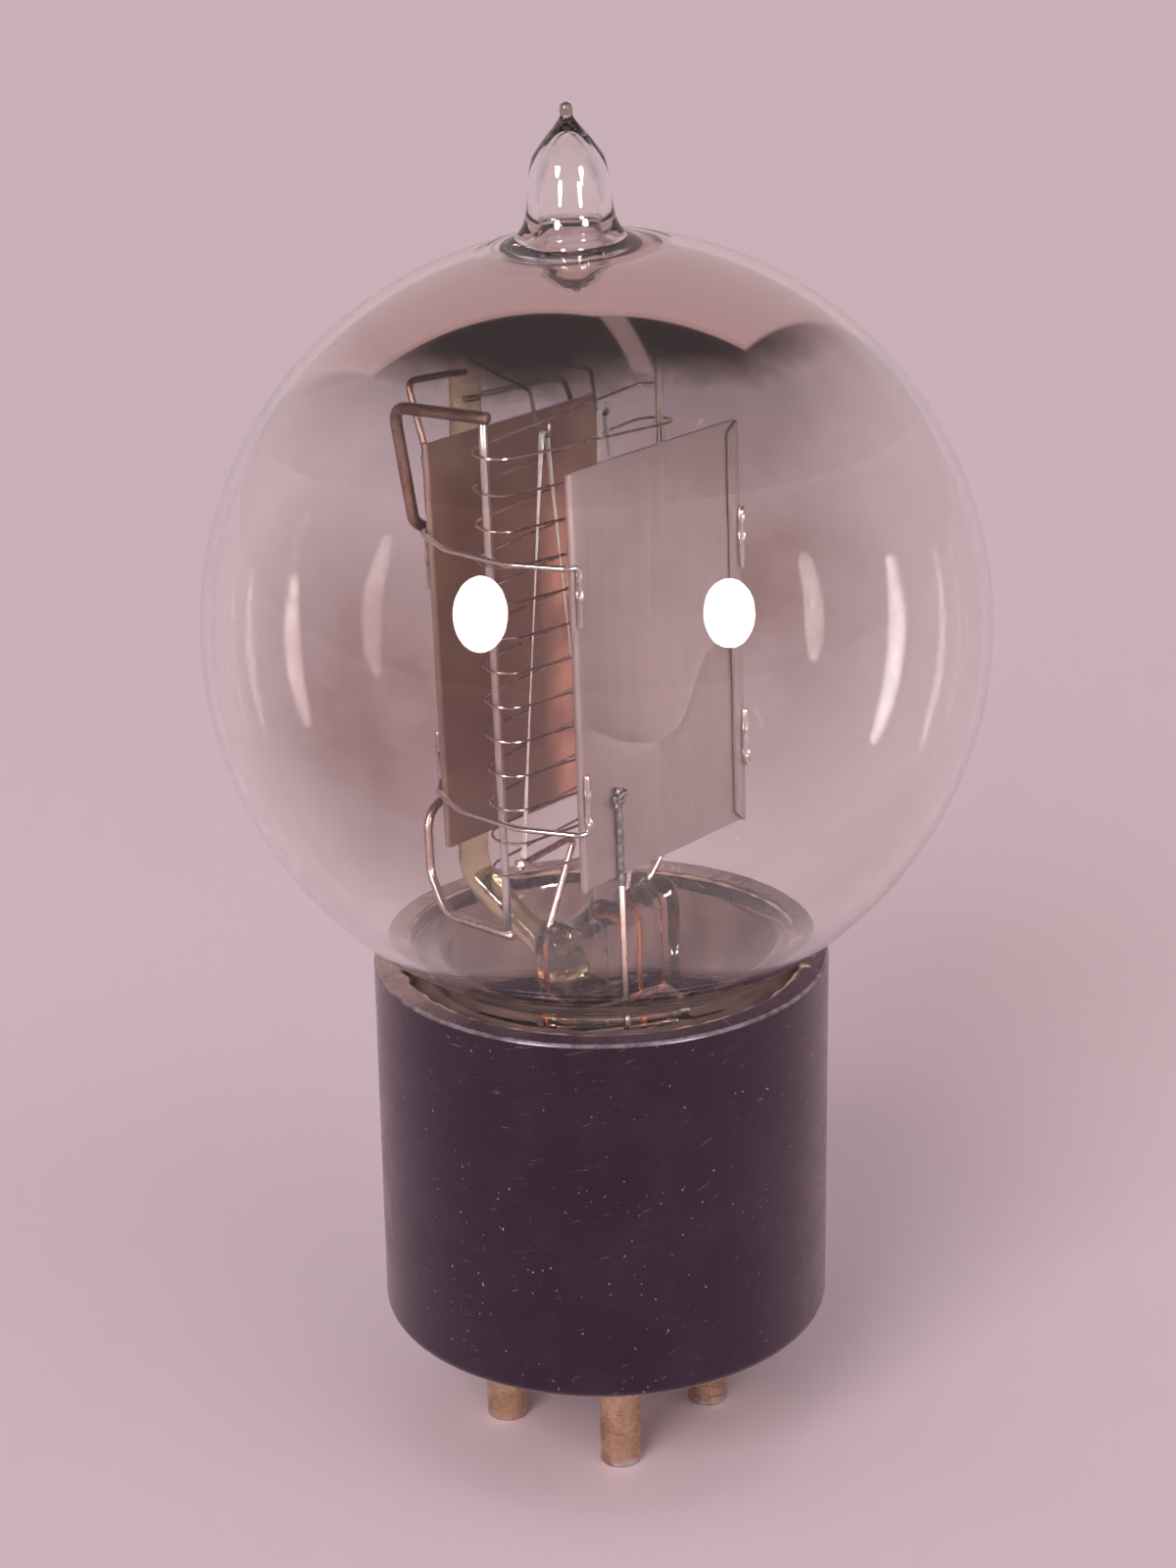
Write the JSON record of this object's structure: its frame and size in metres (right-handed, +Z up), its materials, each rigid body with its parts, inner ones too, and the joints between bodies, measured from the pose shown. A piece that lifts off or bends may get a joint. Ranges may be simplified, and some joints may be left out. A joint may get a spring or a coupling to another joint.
{
  "type": "power triode tube",
  "caption": "Globe-shaped glass power triode with an exhaust tip, flat plates, wound grid and a four-pin moulded base.",
  "frame": {"origin": "on the base's axis, level with the pin ends on which the tube stands", "axes": "+Z up along the base's axis; +X along the plates' width; the front plate is on the -Y side"},
  "size_m": [0.0582, 0.0582, 0.1048],
  "materials": {
    "bulb_glass": "clear blown glass with faint brown deposits",
    "stem_glass": "clear pressed glass",
    "arbor_glass": "clear yellowish glass rod",
    "plate_metal": "satin nickel sheet, faintly stained",
    "tie_metal": "bright nickel wire",
    "rod_metal": "satin nickel rod",
    "support_metal": "oxidised brown wire",
    "winding_metal": "fine drawn wire",
    "filament_oxide": "pale oxide coating on ribbon",
    "hook_metal": "dark drawn wire",
    "lead_metal": "nickel wire, copper red in the glass",
    "base_moulding": "black moulded resin, worn semi-matte",
    "cement": "tan basing cement",
    "pin_brass": "tarnished brass",
    "solder": "dull solder",
    "copper_wire": "copper wire"
  },
  "bodies": {
    "root": {"glass_bulb": "bulb_glass", "glass_stem": "stem_glass", "glass_arbor": "arbor_glass", "plate_front": "plate_metal", "plate_back": "plate_metal", "tie_upper_left": "tie_metal", "tie_upper_right": "tie_metal", "tie_lower_left": "tie_metal", "tie_lower_right": "tie_metal", "plate_lead": "lead_metal", "plate_stay_left": "support_metal", "plate_stay_right": "tie_metal", "grid_rod_left": "rod_metal", "grid_rod_right": "rod_metal", "grid_winding": "winding_metal", "grid_support_upper": "support_metal", "grid_support_lower": "lead_metal", "grid_support_right": "tie_metal", "grid_lead": "lead_metal", "filament_ribbon": "filament_oxide", "filament_hook_left": "hook_metal", "filament_hook_right": "hook_metal", "filament_anchor": "hook_metal", "filament_lead_left": "lead_metal", "filament_lead_right": "lead_metal", "base_shell": "base_moulding", "cement_ring": "cement", "locating_pin": "pin_brass", "pin_filament_left": "pin_brass", "pin_filament_right": "pin_brass", "pin_plate": "pin_brass", "pin_grid": "pin_brass", "solder_plugs": "solder", "base_wire_filament_left": "copper_wire", "base_wire_filament_right": "copper_wire", "base_wire_plate": "copper_wire", "base_wire_grid": "copper_wire"}
  },
  "joints": []
}
